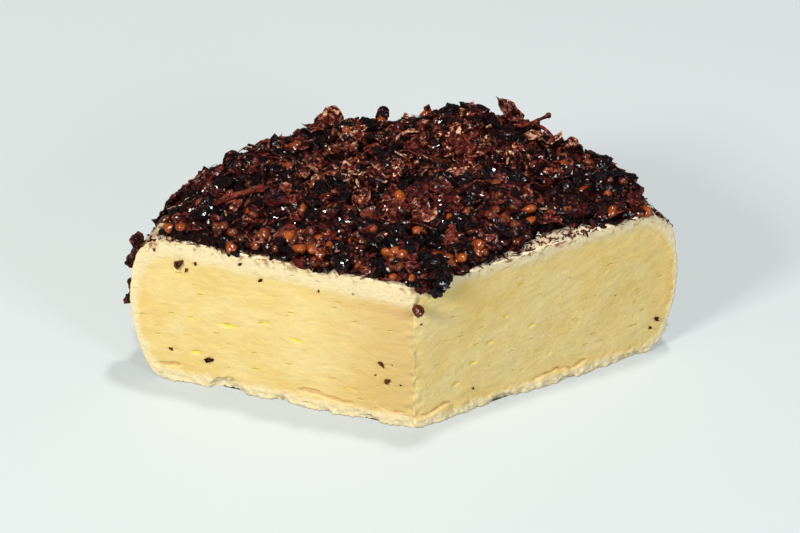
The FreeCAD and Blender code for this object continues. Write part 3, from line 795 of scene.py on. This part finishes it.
def pick_places(coat, chance, count, share):
    """Random places on the wheel: points, normals, the marc's thickness and grid cells.

    Share says how densely each cell is strewn. Some places beside a cut are pushed past it.
    """
    weight = (coat.radius * coat.limits)[:, None] * share
    cells = chance.choice(weight.size, count, p=(weight / weight.sum()).ravel())
    i, j = np.unravel_index(cells, weight.shape)
    lengths = coat.lengths[i] + chance.uniform(-0.5, 0.5, count) * coat.SPACING
    step = 2 * coat.limits[i] / (weight.shape[1] - 1)
    azimuths = coat.azimuths[i, j] + chance.uniform(-0.5, 0.5, count) * step
    radius, height, out, up = section.at(lengths)
    ground = on_wheel(radius, azimuths, height)
    past = chance.uniform(-0.4, 1.9, count) * np.exp(-coat.to_cut[i, j] / 2)
    ground[:, 0] += np.sign(azimuths) * math.cos(HALF_ANGLE) * past
    ground[:, 1] -= math.sin(HALF_ANGLE) * past
    return ground, sphere_way(out, azimuths, up), coat.thickness[i, j], (i, j)


def scatter_marc(coat, materials):
    """The loose pieces over the coat, kind by kind, and a few on the bare rind."""
    chance = np.random.default_rng(5)
    on_top = np.broadcast_to(smooth_step(0.2, 0.9, coat.up)[:, None], coat.thickness.shape)
    near_cut = np.exp(-coat.to_cut / 9)
    far = on_top * smooth_step(16, 50, coat.to_cut)
    # the heap at the back: right of and behind the axis, and its reach
    right, behind, reach = 30, 74, 24
    x, y, _ = np.moveaxis(coat.ground, -1, 0)
    from_heap = np.hypot(x - AXIS_X - right, y - AXIS_Y - behind)
    crest = on_top * np.exp(-((from_heap / reach) ** 2))
    cloudy = layered_noise(coat.ground, 16, 91)
    largest = 1.3 + 1.1 * coat.thickness + 1.6 * near_cut * on_top
    # the skins dry further from the cuts; dryness also lifts their crests into tan painted highlights
    dryness_and_highlight = np.clip(0.25 + 0.3 * far + 0.25 * cloudy, 0, 1)

    curls, tapers = (0.08, 0.12, 0.15, 0.2, 0.22, 0.26, 0.3, 0.36), (0.1, 0.2, 0.35, 0.5)
    flakes = [
        flake_shape(chance, curl=c, ragged=0.14, taper=chance.choice(tapers)) for c in curls
    ]
    curled = [
        flake_shape(chance, curl=c, wrinkle=0.2, ragged=0.2, taper=0.5)
        for c in (0.25, 0.3, 0.36, 0.42, 0.3, 0.46)
    ]
    # pale tan straw-like husks: partly dry husks, partly a painted highlight standing in for lit
    # flake edges
    narrow = {"rings": 2, "sectors": 9, "thickness": 0.1, "taper": 0.6, "wide": (0.2, 0.4)}
    husks_and_highlights = [flake_shape(chance, curl=c, ragged=0.12, **narrow) for c in (0.1, 0.2, 0.3, 0.15)]
    lumps = [lump_shape(chance) for _ in range(8)]
    pips = [pip_shape(chance) for _ in range(4)]
    shreds = [shred_shape(chance, thin=t) for t in (0.07, 0.09, 0.1, 0.12, 0.15, 0.18)]
    crumbs = [crumb_shape(chance) for _ in range(10)]

    def kind(
        name, seed, count, shapes, sizes, look, favour, above, tilt, lowest_shaded_light=0.4, parched_and_highlight=1.0,
        cover=coat.covered,
    ):
        """One kind of piece, with its ranges of half length and of height over the coat."""
        chance = np.random.default_rng(seed)
        scatter = Scatter(chance, shapes)
        *places, cells = pick_places(coat, chance, count, cover * favour)
        low, high = sizes
        for ground, normal, thick, dry_and_highlight, limit in zip(*places, dryness_and_highlight[cells], largest[cells]):
            size = min(low + (high - low) * chance.beta(1.5, 2.4), limit)
            # a piece's level sets its rise; lower pieces are drawn darker and less dry, painted shade
            # deep in the heap
            level = chance.uniform(0, 1)
            rise = max(thick + above[0] + (above[1] - above[0]) * level, LEAST_RISE)
            dry_and_highlight = np.clip(dry_and_highlight + chance.normal(0, 0.16), 0, 1) * level * parched_and_highlight
            light = lowest_shaded_light + (1 - lowest_shaded_light) * level
            scatter.add(ground + normal * rise, normal, size, dry_and_highlight, tilt, light=light)
        piece = scatter.piece(name, materials[look], "marc")
        if look == "skin":
            piece.data.shade_flat()

    by_cut = 0.12 + 2.2 * near_cut
    kind("marc_skins_flat", 1065, 1050, flakes, (2.8, 6.4), "skin", 1.0, (-1.5, 0.0), 0.15)
    kind("marc_skins_curled", 717, 700, curled, (2.6, 5.2), "skin", 1 + crest, (-1.3, 0.1), 0.2)
    kind(
        "marc_skins_shrivelled", 821, 800, lumps, (2.2, 5.0), "skin", 1.0, (-1.3, -0.1), 0.22,
        parched_and_highlight=0.4,
    )
    kind("marc_pips", 199, 190, pips, (2.2, 3.1), "pip", by_cut, (-0.8, 0.4), 0.5, lowest_shaded_light=0.8)
    straws = 0.1 + far + crest
    kind("marc_shreds", 471, 460, shreds, (2.4, 6.4), "stalk", straws, (-0.8, 0.4), 0.15)
    # the husks' tan strips are partly painted highlight on lit flake edges
    kind("marc_husks_and_highlights", 470, 460, husks_and_highlights, (1.4, 3.6), "husk_and_highlight", 0.03 + dryness_and_highlight**3, (-0.8, 0.3), 0.2)
    grit = 0.3 + 4 * near_cut
    kind("marc_crumbs", 2211, 2200, crumbs, (0.4, 1.2), "skin", grit, (-2.4, 0.0), 1.0)
    # on the bare rind beside the cuts
    bare = on_top * (1 - coat.covered) * np.exp(-coat.to_cut / 5) + 0.0001
    strewn = {"above": (0.0, 0.2), "favour": 1.0, "cover": bare}
    kind("rind_crumbs", 211, 200, crumbs, (0.25, 1.0), "crumb", tilt=1.0, **strewn)
    kind("rind_fibres", 181, 170, shreds, (0.8, 2.2), "crumb", tilt=0.15, **strewn)


# Crumbs that cling to the cuts: side, distance from the tip, height and half length.
CUT_CRUMBS = (
    (-1, 82.1, 51.3, 2.5), (-1, 79.2, 49.2, 0.9), (-1, 76.0, 52.5, 0.9), (-1, 60.1, 56.0, 1.0),
    (-1, 53.1, 51.1, 1.1), (-1, 11.6, 25.5, 1.4), (-1, 9.3, 18.6, 1.4), (-1, 13.4, 20.2, 0.5),
    (-1, 7.6, 25.8, 0.4), (-1, 4.6, 17.8, 0.5), (-1, 86.0, 13.6, 0.9), (-1, 72.4, 12.3, 1.8),
    (-1, 33.0, 51.0, 0.6), (-1, 21.0, 52.6, 0.5), (-1, 90.4, 55.0, 0.8), (1, 2.4, 44.0, 0.6),
    (1, 22.0, 9.4, 0.7), (1, 92.6, 14.0, 1.3), (1, 90.2, 11.0, 0.9), (1, 12.6, 55.8, 0.7),
    (1, 58.0, 44.0, 0.3), (1, 76.0, 30.0, 0.3),
)


def make_cut_crumbs(material):
    """Dark crumbs of marc that the knife left on the cuts."""
    chance = np.random.default_rng(17)
    shapes = [
        flake_shape(chance, rings=3, sectors=7, wrinkle=0.3, thickness=0.5, ragged=0.45)
        for _ in range(8)
    ]
    scatter = Scatter(chance, shapes)
    for side, from_tip, up, size in CUT_CRUMBS:
        normal = cut_normal(side)
        place = on_wheel(from_tip, side * HALF_ANGLE, up) + normal * 0.12 * size
        scatter.add(place, normal, size, 0.4, 0.1)
    scatter.piece("cut_crumbs", material, "marc")


def roughen(node, name, look, tint, wrinkle, ragged, voxel=0.24, stretch=None, grow=1):
    """The CAD piece, wrinkled and ragged, in its place and drawn grow times larger.

    Voxel is the mesh's fineness, and stretch the direction in which the wrinkles run.
    """
    source = add_object(name + "_source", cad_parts[node].data.copy())
    remesh = source.modifiers.new("remesh", "REMESH")
    remesh.mode, remesh.voxel_size = "VOXEL", voxel * MM
    mesh = source.evaluated_get(bpy.context.evaluated_depsgraph_get()).to_mesh()
    points = np.array([vertex.co / MM for vertex in mesh.vertices])
    normals = np.array([vertex.normal for vertex in mesh.vertices])
    faces = [tuple(face.vertices) for face in mesh.polygons]
    bpy.data.objects.remove(source)
    middle = (points.min(axis=0) + points.max(axis=0)) / 2
    points = middle + (points - middle) * grow
    where = points.copy()
    if stretch is not None:
        way = unit(np.array(stretch, float))
        where -= np.outer(where @ way, way) * 0.85
    seed = len(name) * 7
    crease = 1 - 2 * np.abs(smooth_noise(where, 2.1, seed))
    depth = wrinkle * (0.6 * crease + 0.5 * smooth_noise(where, 0.9, seed + 1))
    shift = rows(*(smooth_noise(points, 1.9, seed + 2 + axis) for axis in range(3)))
    points = points + normals * depth[:, None] + ragged * shift
    height = (points[:, 2] - points[:, 2].min()) / np.ptp(points[:, 2])
    # raised creases get a lighter tint and more dryness: a painted highlight on the ridges
    values = {"tint": tint + 0.15 * crease, "dry_and_highlight": 0.25 + 0.1 * crease, "edge": 0.6 * height}
    return make_piece(name, points, faces, *look, [node], **values)


def sheet_for(node, name, look, along, facing, size, tint, seed, curl=0.35):
    """A thin crumpled skin in the place of a CAD piece, facing a given way."""
    chance = np.random.default_rng(seed)
    shape = flake_shape(
        chance, rings=9, sectors=24, curl=curl, wrinkle=0.2, ragged=0.3, taper=0.85
    )
    scatter = Scatter(chance, [shape])
    low, high = (np.array(corner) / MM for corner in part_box(node))
    facing = unit(np.array(facing, float))
    scatter.add((low + high) / 2, facing, size, 0.3, 0.0, np.array(along, float))
    scatter.piece(name, *look, [node], tint=np.full(scatter.count, tint))


# Single skins that stand out of the coat: azimuth in degrees, distance from the axis, rise
# above the bare wheel, half length, and how far up each one points.
STANDING_SKINS = (
    (-13.0, 93.0, 5.0, 4.6, 1.0), (-15.5, 92.0, 4.0, 3.6, 0.4), (-2.0, 93.0, 3.4, 2.7, 0.8),
    (40.0, 93.0, 2.6, 3.2, 0.4), (-38.0, 90.0, 3.4, 4.2, 0.2), (19.0, 88.0, 8.0, 5.0, 0.4),
    (12.0, 84.0, 6.6, 4.6, 0.5), (27.0, 80.0, 6.4, 4.8, 0.3), (8.0, 40.0, 3.4, 4.4, 0.1),
)
# The clump on the tip: right of and behind the axis, height and half length.
TIP_SKINS = (
    (5.2, 4.4, 62.6, 3.6), (1.2, 4.2, 62.8, 3.0), (8.8, 8.6, 63.2, 3.4), (-2.6, 5.2, 62.4, 2.4),
    (4.6, 9.6, 64.0, 3.2), (7.4, 2.6, 60.6, 2.6), (-0.8, 1.6, 61.6, 2.6), (2.6, 0.8, 60.4, 2.3),
    (10.4, 3.0, 60.8, 2.2),
)


def make_standing_skins(material):
    """Larger shrivelled skins, one by one, where the coat is lumpy and on the tip."""
    chance = np.random.default_rng(23)
    shapes = [lump_shape(chance, 10, 15, wrinkle=0.3, flat=0.42) for _ in range(6)]
    scatter = Scatter(chance, shapes)
    for azimuth, radius, rise, size, upright in STANDING_SKINS:
        turn = math.radians(azimuth)
        place = on_wheel(radius, turn, HEIGHT + rise)
        facing = unit(np.array([0.3 * math.sin(turn), -upright, 1.2 - upright]))
        scatter.add(place, facing, size, 0.5, 0.1, np.array([0.3, 0.2, upright]), light=0.8)
    for across, back, up, size in TIP_SKINS:
        place = np.array([AXIS_X + across, AXIS_Y + back, up])
        scatter.add(place, np.array([0.2, -0.5, 1.0]), size, 0.1, 0.2, light=0.3)
    scatter.piece("standing_skins", material, "marc").data.shade_flat()


def make_large_pieces(materials):
    """The skins, stalks and pip that are parts of their own, wrinkled and ragged."""
    skin, stalk, pip = ((materials[slot], slot) for slot in ("skin", "stalk", "pip"))
    hanging = roughen("tip_skin", "tip_skin_wrinkled", skin, 0.05, 0.9, 1.7, voxel=0.8, grow=1.3)
    hanging.data.shade_flat()
    sheet_for("back_skin", "back_skin_sheet", skin, (-0.75, 0.1, 1), (0.3, -1, 0.5), 6.0, 0.75, 3)
    sheet_for(
        "right_skin", "right_skin_sheet", skin, (1, 0.5, 0.1), (-0.2, -0.3, 1), 6.2, 0.0, 4, 0.15
    )
    roughen("left_skin_upper", "left_skin_upper_wrinkled", skin, 0.4, 0.4, 0.9, grow=1.65)
    roughen("left_skin_lower", "left_skin_lower_wrinkled", skin, 0.4, 0.4, 0.9, grow=1.5)
    roughen("left_stalk", "left_stalk_ribbed", stalk, 0.55, 0.32, 0.25, 0.2, (0.9, 0.44, 0))
    roughen("back_twig", "back_twig_ribbed", stalk, 0.35, 0.16, 0.3, 0.16)
    roughen("tip_pip", "tip_pip_wrinkled", pip, 0.2, 0.4, 0.7)


# ---- materials of the marc


def skin_material(name, dark, middle, light, dried_and_highlight, wet):
    """Grape skin: dark and glossy where moist, with crests painted lighter and tan as highlights,
    most where dry.
    """
    n = Nodes(name)
    tint, dry_and_highlight, edge = n.attribute("tint"), n.attribute("dry_and_highlight"), n.attribute("edge")
    mottle = n.noise(2.4, detail=3)
    crinkle = n.noise(1.4, detail=4, roughness=0.62)
    fine = n.noise(0.5, detail=3)
    # the colour follows the crinkle's height, so the crests are lighter: a painted highlight
    level = n.plus(n.times(crinkle, 0.62), n.times(mottle, 0.38))
    level = n.times(n.math("SUBTRACT", level, 0.5), n.remap(dry_and_highlight, 0, 0.8, 0.6, 1.4))
    # tint, lower on pieces deep in the heap, brings painted shade; dryness lifts the colour; a high
    # edge value, on flakes their rim, adds a painted highlight
    level = n.plus(
        level, n.remap(tint, 0, 1, 0.425, 0.6), n.remap(dry_and_highlight, 0, 1, -0.025, 0.07),
        n.remap(edge, 0.7, 1.0, 0, 0.04),
    )
    colour = n.ramp(level, (0.45, dark), (0.54, middle), (0.63, light), (0.69, dried_and_highlight))
    wine = n.times(n.remap(tint, 0.3, 0.7, 0, 0.6), n.remap(mottle, 0.45, 0.6))
    relief = n.plus(n.times(crinkle, 1.6), n.times(fine, 0.5), mottle)
    return n.finish(
        Base_Color=n.mix(wine, colour, (84, 16, 18)),
        Roughness=n.remap(dry_and_highlight, 0.1, 0.8, 0.42, 0.7),
        Normal=n.bump(relief, 0.55),
        Coat_Weight=n.times(n.remap(dry_and_highlight, 0.1, 0.9, wet, 0.15), n.remap(fine, 0.48, 0.58)),
        Coat_IOR=1.6,
        Coat_Roughness=0.19,
        Specular_IOR_Level=0.04,
    )


def pip_material():
    """Glossy orange-brown pips, some much darker."""
    n = Nodes("pip")
    mottle = n.noise(1.6, detail=3)
    colour = n.ramp(
        n.plus(n.times(n.attribute("tint"), 0.7), n.times(mottle, 0.4)),
        (0.15, (34, 12, 8)), (0.42, (88, 34, 10)), (0.7, (128, 54, 14)), (0.98, (162, 78, 22)),
    )
    point = n.remap(n.attribute("edge"), 0.6, 1.0, 0, 0.6)
    return n.finish(
        Base_Color=n.mix(point, colour, (52, 20, 14)),
        Roughness=0.4,
        Normal=n.bump(mottle, 0.2, 0.9),
        Coat_Weight=0.75,
        Coat_IOR=1.6,
        Coat_Roughness=0.08,
        Specular_IOR_Level=0.1,
    )


def core_material():
    """The bed of fine, moist, nearly black grit."""
    n = Nodes("marc_bed")
    coarse, fine = n.noise(3.0, detail=4), n.noise(0.8, detail=4)
    return n.finish(
        Base_Color=n.ramp(coarse, (0.35, (16, 7, 8)), (0.6, (32, 13, 12)), (0.8, (58, 27, 20))),
        Roughness=n.remap(fine, 0.3, 0.7, 0.5, 0.8),
        Normal=n.bump(n.plus(coarse, fine), 0.8),
        Specular_IOR_Level=0.08,
    )


# Skin-like looks: dark, middle, light and dried colour, the last also the painted highlight that
# crests reach, and how wet the moist places are.
LOOKS = {
    "skin": ((9, 2, 4), (58, 17, 15), (138, 68, 52), (240, 196, 158), 0.9),
    "stalk": ((52, 18, 14), (104, 40, 28), (150, 76, 54), (212, 166, 130), 0.3),
    # the husks' pale tans are partly painted highlight
    "husk_and_highlight": ((90, 48, 36), (150, 98, 72), (206, 164, 130), (236, 206, 172), 0.4),
    "crumb": ((42, 15, 9), (92, 44, 26), (136, 80, 50), (176, 122, 82), 0.2),
}


# ---- floor, light and camera


def make_stage():
    """A plain pale floor that runs far past the view."""
    n = Nodes("floor")
    seen = n.node("LightPath", {}, "Is Camera Ray")
    n.finish(
        Base_Color=srgb(150, 155, 156),
        Roughness=0.9,
        Specular_IOR_Level=0.1,
        Emission_Color=srgb(228, 234, 234),
        Emission_Strength=n.times(seen, 0.42),
    )
    half = 6.0
    mesh = bpy.data.meshes.new("floor")
    corners = [(x * half, y * half, 0) for x, y in ((-1, -1), (1, -1), (1, 1), (-1, 1))]
    mesh.from_pydata(corners, [], [(0, 1, 2, 3)])
    mesh.materials.append(n.material)
    floor = add_object("floor", mesh)


def add_light(name, position, aim, size, power, colour):
    """A square lamp that looks at a point."""
    lamp = bpy.data.lights.new(name, "AREA")
    lamp.size, lamp.energy, lamp.color = size, power, colour
    light = add_object(name, lamp)
    light.location = position
    light.rotation_euler = (Vector(aim) - Vector(position)).to_track_quat("-Z", "Y").to_euler()


def make_lights():
    """A key from the front left, glints from above, a fill from the right, an even world."""
    middle = (0, 0, 0.03)
    add_light("key", (-0.72, -0.62, 0.73), middle, 0.3, 13.9, (1, 0.972, 0.87))
    add_light("glints", (0.15, 0.1, 1.3), middle, 0.10, 10.5, (1, 0.98, 0.95))
    add_light("fill", (0.6, -0.8, 0.55), middle, 0.3, 5.7, (0.87, 0.94, 1))
    world = bpy.data.worlds.new("studio")
    world.use_nodes = True
    background = world.node_tree.nodes["Background"].inputs
    background["Color"].default_value = (0.96, 0.98, 1, 1)
    background["Strength"].default_value = 0.11
    bpy.context.scene.world = world


def make_camera():
    """A long lens, nearly in line with the tip, looking down on the piece."""
    low, high = CAD_BOX
    aim = Vector(((low.x + high.x) / 2, low.y + 0.49 * (high.y - low.y), 0.42 * high.z))
    turn, elevation, distance = math.radians(-4.6), math.radians(38), 1.256
    back = Vector((
        math.sin(turn) * math.cos(elevation),
        -math.cos(turn) * math.cos(elevation),
        math.sin(elevation),
    ))
    data = bpy.data.cameras.new("camera")
    data.sensor_width, data.lens = 36, 166
    data.clip_start, data.clip_end = 0.05, 20
    camera = add_object("camera", data)
    camera.location = aim + back * distance
    camera.rotation_euler = (-back).to_track_quat("-Z", "Y").to_euler()
    bpy.context.scene.camera = camera


make_camera()
make_stage()
make_lights()
coat = Coat()
make_cheese(coat, cheese_material())
make_core(coat, core_material())
materials = {name: skin_material(name, *look) for name, look in LOOKS.items()}
materials["pip"] = pip_material()
scatter_marc(coat, materials)
make_cut_crumbs(materials["crumb"])
make_standing_skins(materials["skin"])
make_large_pieces(materials)

bpy.context.scene.view_settings.view_transform = "Standard"
